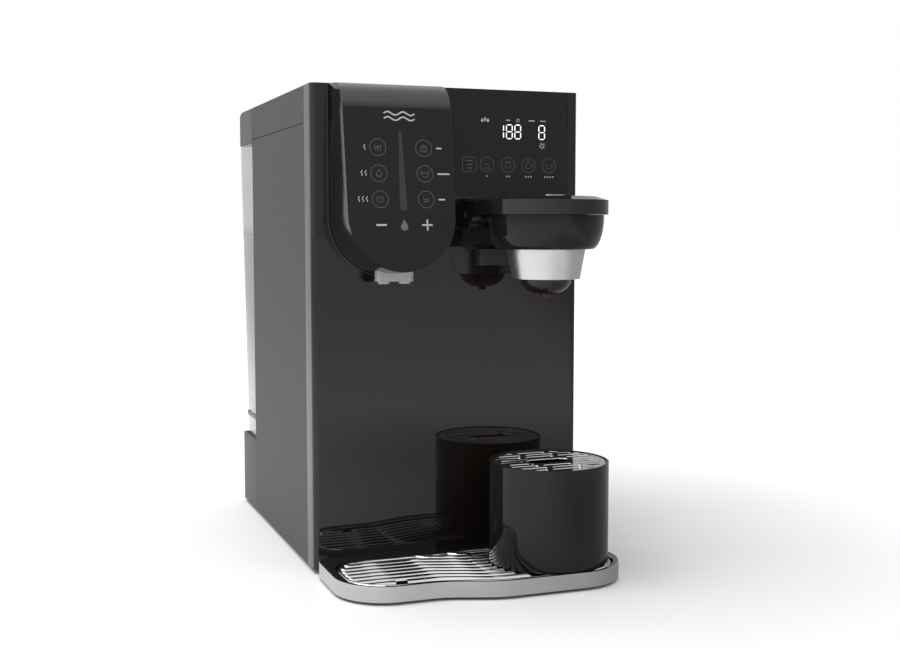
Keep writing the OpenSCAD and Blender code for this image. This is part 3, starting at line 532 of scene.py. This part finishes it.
def coil(name, node, body, turns, wire):
    """Coil spring in place of the node's closed rings; it rides on the given body.

    wire is the radius of the wire.
    """
    low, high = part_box(node)
    centre = (low + high) / 2
    height = high.z - low.z
    radius = (high.x - low.x) / 2 - wire
    steps = turns * TURN_STEPS
    verts, faces = [], []
    for i in range(steps + 1):
        around = 2 * math.pi * i / TURN_STEPS
        out = Vector((math.cos(around), math.sin(around), 0))
        middle = Vector((centre.x, centre.y, low.z + wire + (height - 2 * wire) * i / steps))
        for k in range(WIRE_SIDES):
            t = 2 * math.pi * k / WIRE_SIDES
            lift = Vector((0, 0, wire * math.sin(t)))
            verts.append(middle + out * (radius + wire * math.cos(t)) + lift)
    for i in range(steps):
        for k in range(WIRE_SIDES):
            here, beside = i * WIRE_SIDES + k, i * WIRE_SIDES + (k + 1) % WIRE_SIDES
            faces.append((here, here + WIRE_SIDES, beside + WIRE_SIDES, beside))
    last = steps * WIRE_SIDES
    faces.append(tuple(range(WIRE_SIDES)))
    faces.append(tuple(last + WIRE_SIDES - 1 - k for k in range(WIRE_SIDES)))
    obj = piece(name, verts, faces, "steel", body)
    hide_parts(node)
    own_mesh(obj)


coil("button_coil", "lid_button_spring", "lid_button",
     turns=2, wire=0.15 * MM)
coil("valve_coil", "tank_valve_spring", "tank_valve",
     turns=6, wire=0.45 * MM)


# ---------- printed symbols ----------

class Sheet:
    """A flat face to print on, given by a point of it and its directions to the right and up."""

    def __init__(self, origin, right, up, height=0.12 * MM):
        self.origin, self.right, self.up = Vector(origin), Vector(right), Vector(up)
        self.out = self.right.cross(self.up)
        self.height = height
        self.verts, self.faces = [], []

    def point(self, x, y, lift):
        return self.origin + self.right * (x * MM) + self.up * (y * MM) + self.out * lift

    def strip(self, path, width, closed=False):
        """Line of even width along a path of (x, y) points in millimetres."""
        n = len(path)
        rings = []
        for i, (x, y) in enumerate(path):
            before = path[(i - 1) % n] if closed or i else path[0]
            after = path[(i + 1) % n] if closed or i < n - 1 else path[-1]
            run = Vector((after[0] - before[0], after[1] - before[1])).normalized()
            side = Vector((-run.y, run.x)) * width / 2
            rings.append(((x + side.x, y + side.y), (x - side.x, y - side.y)))
        start = len(self.verts)
        for left, right in rings:
            for lift in (0.0, self.height):
                self.verts.append(self.point(*left, lift))
                self.verts.append(self.point(*right, lift))
        for i in range(n if closed else n - 1):
            a, b = start + 4 * i, start + 4 * ((i + 1) % n)
            self.faces += [(a + 2, a + 3, b + 3, b + 2), (a, b, b + 1, a + 1),
                           (a, a + 2, b + 2, b), (a + 1, b + 1, b + 3, a + 3)]
        if not closed:
            a, b = start, start + 4 * (n - 1)
            self.faces += [(a, a + 1, a + 3, a + 2), (b, b + 2, b + 3, b + 1)]

    def solid(self, outline):
        """Filled outline of (x, y) points in millimetres, anticlockwise."""
        start, n = len(self.verts), len(outline)
        self.verts += [self.point(x, y, 0.0) for x, y in outline]
        self.verts += [self.point(x, y, self.height) for x, y in outline]
        self.faces.append(tuple(start + n + i for i in range(n)))
        self.faces.append(tuple(start + n - 1 - i for i in range(n)))
        for i in range(n):
            j = (i + 1) % n
            self.faces.append((start + i, start + j, start + n + j, start + n + i))

    def make(self, name, look):
        obj = piece(name, self.verts, self.faces, look, "cabinet")
        self.verts, self.faces = [], []
        return obj


def arc(x, y, r, start=0, end=360, steps=40):
    """Points of an arc from one angle in degrees to another."""
    turn = [math.radians(start + (end - start) * i / steps) for i in range(steps + 1)]
    return [(x + r * math.cos(a), y + r * math.sin(a)) for a in turn]


def ring(sheet, x, y, r, width):
    sheet.strip(arc(x, y, r)[:-1], width, closed=True)


def dot(sheet, x, y, r):
    sheet.solid(arc(x, y, r, steps=16)[:-1])


def drop_outline(x, y, size):
    """Water drop of a given height, its middle at (x, y)."""
    r = size * 0.34
    base = y - size / 2 + r
    return [(x, y + size / 2)] + arc(x, base, r, 155, 385, 22)


def rounded_box(x, y, w, h, r):
    """Outline of a box with rounded corners, its middle at (x, y)."""
    corners = [(1, 1, 0), (-1, 1, 90), (-1, -1, 180), (1, -1, 270)]
    points = []
    for sx, sy, start in corners:
        points += arc(x + sx * (w / 2 - r), y + sy * (h / 2 - r), r, start, start + 90, 6)
    return points


def cup_sign(sheet, x, y, w, steam, line=0.4):
    """Tapered cup seen from the side, with a number of steam lines over it."""
    h = w * 0.8
    sheet.strip([(x - w / 2, y + h / 2), (x - w * 0.36, y - h / 2),
                 (x + w * 0.36, y - h / 2), (x + w / 2, y + h / 2)], line)
    for i in range(steam):
        px = x + (i - (steam - 1) / 2) * 1.5
        wisp = [(px + 0.25 * math.sin(t * 1.6), y + h * 0.1 + 0.5 * t) for t in range(5)]
        sheet.strip(wisp, line * 0.8)


# Control glass: the face and its directions come from the node itself
glass_low, glass_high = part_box("control_glass")
face = max(nodes["control_glass"].data.polygons, key=lambda p: p.area * (p.normal.y < -0.5))
glass_out = face.normal.normalized()
glass_right = Vector((1, 0, 0))
glass_up = glass_out.cross(glass_right)
glass_x = (glass_low.x + glass_high.x) / 2
glass_r = (glass_high.x - glass_low.x) / 2
face_point = nodes["control_glass"].data.vertices[face.vertices[0]].co
round_z = glass_low.z + glass_r * glass_up.z
round_y = face_point.y + (round_z - face_point.z) * glass_up.y / glass_up.z
panel = Sheet((glass_x, round_y, round_z), glass_right, glass_up)

KEY_X = (-19.2, 21.0)
KEY_Y = (57.8, 36.0, 14.3)
KEY_R = 7.0
MID_X = 0.8

for kx in KEY_X:
    for ky in KEY_Y:
        ring(panel, kx, ky, KEY_R, 0.35)
panel.make("key_rings", "ink_dim")

left_x, right_x = KEY_X
cup_sign(panel, left_x, KEY_Y[0], 5.6, 0)
panel.solid(drop_outline(left_x, KEY_Y[0] + 0.3, 2.4))
panel.strip(drop_outline(left_x, KEY_Y[1] + 0.2, 6.4), 0.4, closed=True)
panel.strip(arc(left_x, KEY_Y[1] - 1.0, 1.1, 180, 280, 8), 0.3)
cup_sign(panel, left_x, KEY_Y[2], 5.6, 2)
panel.strip(rounded_box(right_x, KEY_Y[0] - 1.0, 5.0, 4.0, 0.5), 0.4, closed=True)
panel.strip(arc(right_x, KEY_Y[0] + 1.0, 1.6, 0, 180, 12), 0.4)
dot(panel, right_x, KEY_Y[0] - 1.0, 0.5)
cup_sign(panel, right_x, KEY_Y[1], 6.4, 0)
panel.strip([(right_x - 2.7, KEY_Y[1] + 0.9), (right_x + 2.7, KEY_Y[1] + 0.9)], 0.35)
cup_sign(panel, right_x, KEY_Y[2], 4.6, 0)
panel.strip([(right_x - 1.7, KEY_Y[2] - 0.1), (right_x + 1.7, KEY_Y[2] - 0.1)], 0.35)
panel.make("key_signs", "ink_dim")

# Beside the keys: one, two and three wavy marks on the left, a shorter or longer bar on the right
MARKS = (1, 2, 3)
BAR_LENGTHS = (5.0, 11.0, 6.0)
for key_y, marks in zip(KEY_Y, MARKS):
    for i in range(marks):
        panel.strip([(left_x - 11.5 - i * 3.4 + 0.6 * math.sin(t * 1.3), key_y - 2.2 + 0.75 * t)
                     for t in range(7)], 0.6)
for key_y, length in zip(KEY_Y, BAR_LENGTHS):
    panel.solid(rounded_box(right_x + 11.0 + length / 2, key_y, length, 1.3, 0.6))

# Minus, drop and plus below the keys, and the level bar between the keys' columns
MINUS_Y = -7.2
panel.strip([(left_x - 4.4, MINUS_Y), (left_x + 4.6, MINUS_Y)], 1.5)
panel.strip([(right_x - 4.6, MINUS_Y), (right_x + 4.6, MINUS_Y)], 1.4)
panel.strip([(right_x, MINUS_Y - 4.6), (right_x, MINUS_Y + 4.6)], 1.4)
panel.make("key_marks", "ink")

LEVEL_TOP, LEVEL_BOTTOM = 70.3, 8.0
panel.solid(arc(MID_X, LEVEL_TOP, 1.2, 0, 180, 8) + arc(MID_X, LEVEL_BOTTOM, 3.3, 180, 360, 12))
panel.make("level_bar", "ink_bronze")
panel.solid(drop_outline(MID_X, MINUS_Y, 9.4))
panel.make("drop_sign", "ink_dim")

# Two plain waves above the keys
WAVE_Y = 84.5
for offset in (-2.2, 2.2):
    panel.strip([(MID_X + x * 0.9, WAVE_Y + offset + 1.4 * math.sin(x * 0.42))
                 for x in range(-15, 16)], 1.2)
panel.make("wave_sign", "ink")

# Display: lit digits and round keys on the front's window
display_low, display_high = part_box("display_glass")
window = Sheet((0, display_low.y, 0), (1, 0, 0), (0, 0, 1))
DIGIT_H, DIGIT_W, SEGMENT, SEGMENT_GAP = 12.2, 5.6, 0.8, 0.75
DIGIT_Z = 387.2
SEGMENTS = {"1": "bc", "8": "abcdefg"}


def digit(sheet, x, z, char):
    """Seven-segment digit; x is its left side and z its middle."""
    w, h = DIGIT_W, DIGIT_H / 2
    lines = {"a": ((0, h), (w, h)), "b": ((w, h), (w, 0)), "c": ((w, 0), (w, -h)),
             "d": ((0, -h), (w, -h)), "e": ((0, 0), (0, -h)), "f": ((0, h), (0, 0)),
             "g": ((0, 0), (w, 0))}
    for name in SEGMENTS[char]:
        a, b = (Vector(p) for p in lines[name])
        run = (b - a).normalized() * SEGMENT_GAP
        a, b = a + run, b - run
        sheet.strip([(x + a.x, z + a.y), (x + b.x, z + b.y)], SEGMENT)


for x, char in ((46.0, "1"), (54.4, "8"), (62.6, "8"), (86.1, "8")):
    digit(window, x, DIGIT_Z, char)
window.make("display_digits", "segment")

MARK_Z = 397.4
for i, lift in ((-1, -0.4), (0, 0.6), (1, -0.4)):
    window.solid(drop_outline(33.8 + 2.7 * i, MARK_Z + lift, 3.6))
window.solid(rounded_box(56.0, MARK_Z, 4.0, 1.0, 0.45))
ring(window, 65.4, MARK_Z, 1.3, 0.5)
window.solid(rounded_box(79.0, MARK_Z, 6.0, 1.0, 0.45))
window.solid(rounded_box(90.0, MARK_Z, 5.4, 0.8, 0.38))
SUN_X, SUN_Z = 89.4, 375.3
window.strip(arc(SUN_X, SUN_Z, 1.6)[:-1], 0.6, closed=True)
for i in range(8):
    a = math.radians(45 * i)
    window.strip([(SUN_X + 2.2 * math.cos(a), SUN_Z + 2.2 * math.sin(a)),
                  (SUN_X + 3.1 * math.cos(a), SUN_Z + 3.1 * math.sin(a))], 0.45)
window.make("display_marks", "ink")

SQUARE_X = 18.9
ROUND_X = (35.8, 56.0, 76.0, 96.3)
ROUND_Z = 357.6
ROUND_R = 6.6
window.strip(rounded_box(SQUARE_X, ROUND_Z, 12.8, 12.6, 2.2), 0.35, closed=True)
for x in ROUND_X:
    ring(window, x, ROUND_Z, ROUND_R, 0.35)
for i in range(3):
    window.solid(rounded_box(SQUARE_X, ROUND_Z + 3.2 - 3.2 * i, 7.0 - 1.2 * i, 0.7, 0.34))
cup_sign(window, ROUND_X[0], ROUND_Z - 0.6, 5.0, 2, 0.35)
window.strip([(ROUND_X[0] - 3.4, ROUND_Z - 3.6), (ROUND_X[0] + 3.4, ROUND_Z - 3.6)], 0.35)
window.strip(rounded_box(ROUND_X[1], ROUND_Z - 0.3, 4.4, 4.8, 1.0), 0.35, closed=True)
window.strip([(ROUND_X[1] - 3.2, ROUND_Z + 2.8), (ROUND_X[1] + 3.2, ROUND_Z + 2.8)], 0.35)
ring(window, ROUND_X[2], ROUND_Z - 0.6, 2.6, 0.35)
window.strip([(ROUND_X[2] + 2.6, ROUND_Z - 0.6), (ROUND_X[2] + 4.4, ROUND_Z + 1.2)], 0.35)
window.strip(arc(ROUND_X[2], ROUND_Z + 0.6, 3.2, 40, 140, 8), 0.35)
cup_sign(window, ROUND_X[3], ROUND_Z - 0.4, 5.4, 0, 0.35)
window.strip(arc(ROUND_X[3] + 3.0, ROUND_Z, 1.1, -80, 80, 8), 0.35)
window.make("round_keys", "ink_dim")
for i, x in enumerate(ROUND_X):
    for j in range(i + 1):
        dot(window, x + (j - i / 2) * 2.6, ROUND_Z - 10.2, 0.75)
window.make("round_marks", "ink")


# ---------- stage ----------

def floor():
    """Pale worktop that fades into the white surroundings far from the object."""
    size = 30.0
    mesh = bpy.data.meshes.new("floor")
    corners = [(-size, -size, 0), (size, -size, 0), (size, size, 0), (-size, size, 0)]
    mesh.from_pydata(corners, [], [(0, 1, 2, 3)])
    obj = bpy.data.objects.new("floor", mesh)
    bpy.context.scene.collection.objects.link(obj)
    look = Look("worktop", (0.90, 0.90, 0.90), 0.6, specular=0.1)
    paper = look.vary_color(3, 0.005)
    rays = look.add("ShaderNodeLightPath")
    distance = look.add("ShaderNodeVectorMath", operation="LENGTH")
    look.link(look.place, distance.inputs[0])
    fade = look.remap(distance.outputs["Value"], 0.4, 1.6, 0.0, 0.5)
    glow = look.add("ShaderNodeMath", operation="MULTIPLY")
    look.link(fade.outputs["Result"], glow.inputs[0])
    look.link(rays.outputs["Is Camera Ray"], glow.inputs[1])
    look.link(glow.outputs["Value"], look.shader.inputs["Emission Strength"])
    look.set("Emission Color", (1, 1, 1, 1))
    axes = look.add("ShaderNodeSeparateXYZ")
    look.link(look.place, axes.inputs["Vector"])
    # Painted shade in reflections: for glossy rays the floor's colour darkens from left to right.
    # On the right it is darkest near the object and lighter further out, except far to the right.
    across = look.remap(axes.outputs["X"], -0.18, 0.2, 0.98, 0.45)
    aside = look.add("ShaderNodeVectorMath", operation="DOT_PRODUCT")
    look.link(look.place, aside.inputs[0])
    aside.inputs[1].default_value = (0.94, 0.34, 0.0)
    outer = look.remap(aside.outputs["Value"], 0.25, 0.6, 0.9, 0.45)
    far = look.remap(distance.outputs["Value"], 0.6, 1.05, 0.4, 0.9)
    look.link(outer.outputs["Result"], far.inputs["To Max"])
    look.link(far.outputs["Result"], across.inputs["To Max"])
    mirrored = look.add("ShaderNodeMix", data_type="RGBA")
    look.link(paper, mirrored.inputs["A"])
    look.link(across.outputs["Result"], mirrored.inputs["B"])
    look.link(rays.outputs["Is Glossy Ray"], mirrored.inputs["Factor"])
    look.link(mirrored.outputs["Result"], look.shader.inputs["Base Color"])
    obj.data.materials.append(look.material)


def area_light(name, place, target, size, power):
    """Rectangular light at a place, turned to a target."""
    data = bpy.data.lights.new(name, "AREA")
    data.shape = "RECTANGLE"
    data.size, data.size_y = size
    data.energy = power
    obj = bpy.data.objects.new(name, data)
    bpy.context.scene.collection.objects.link(obj)
    obj.location = place
    obj.rotation_euler = (Vector(target) - Vector(place)).to_track_quat("-Z", "Y").to_euler()


def camera():
    """Camera at the height of the display, to the left of the front."""
    data = bpy.data.cameras.new("camera")
    data.sensor_width = 36
    data.lens = 49.9
    obj = bpy.data.objects.new("camera", data)
    bpy.context.scene.collection.objects.link(obj)
    obj.location = (-0.3815, FRONT_Y - 1.0404, 0.3029)
    obj.rotation_euler = Vector((0.3436, 0.9355, -0.0829)).to_track_quat("-Z", "Y").to_euler()
    bpy.context.scene.camera = obj


def world():
    """White surroundings; in reflections they are brighter on the left and overhead."""
    studio = bpy.data.worlds.new("studio")
    studio.use_nodes = True
    tree = studio.node_tree
    add, link = tree.nodes.new, tree.links.new
    background = tree.nodes["Background"]
    direction = add("ShaderNodeTexCoord").outputs["Generated"]
    axes = add("ShaderNodeSeparateXYZ")
    link(direction, axes.inputs["Vector"])
    across = add("ShaderNodeMapRange")
    set_range(across, -0.9, 0.9, 1.0, 0.35)
    link(axes.outputs["X"], across.inputs["Value"])
    above = add("ShaderNodeMapRange")
    set_range(above, 0.4, 0.75, 1.0, 2.2)
    link(axes.outputs["Z"], above.inputs["Value"])
    mirrored = add("ShaderNodeMath")
    mirrored.operation = "MULTIPLY"
    link(across.outputs["Result"], mirrored.inputs[0])
    link(above.outputs["Result"], mirrored.inputs[1])
    rays = add("ShaderNodeLightPath")
    direct = add("ShaderNodeMath")
    direct.operation = "MAXIMUM"
    link(rays.outputs["Is Camera Ray"], direct.inputs[0])
    link(rays.outputs["Is Transmission Ray"], direct.inputs[1])
    soft = add("ShaderNodeMix")
    soft.inputs["A"].default_value = 0.78
    link(rays.outputs["Is Glossy Ray"], soft.inputs["Factor"])
    link(mirrored.outputs["Value"], soft.inputs["B"])
    seen = add("ShaderNodeMix")
    seen.inputs["B"].default_value = 1.0
    link(direct.outputs["Value"], seen.inputs["Factor"])
    link(soft.outputs["Result"], seen.inputs["A"])
    link(seen.outputs["Result"], background.inputs["Strength"])
    background.inputs["Color"].default_value = (1, 1, 1, 1)
    bpy.context.scene.world = studio


floor()
camera()
world()
area_light("top", (-0.8, 0.3, 2.2), (0, 0, 0.1), (1.8, 1.8), 35)
view_settings = bpy.context.scene.view_settings
view_settings.view_transform = "Standard"
view_settings.look = "None"
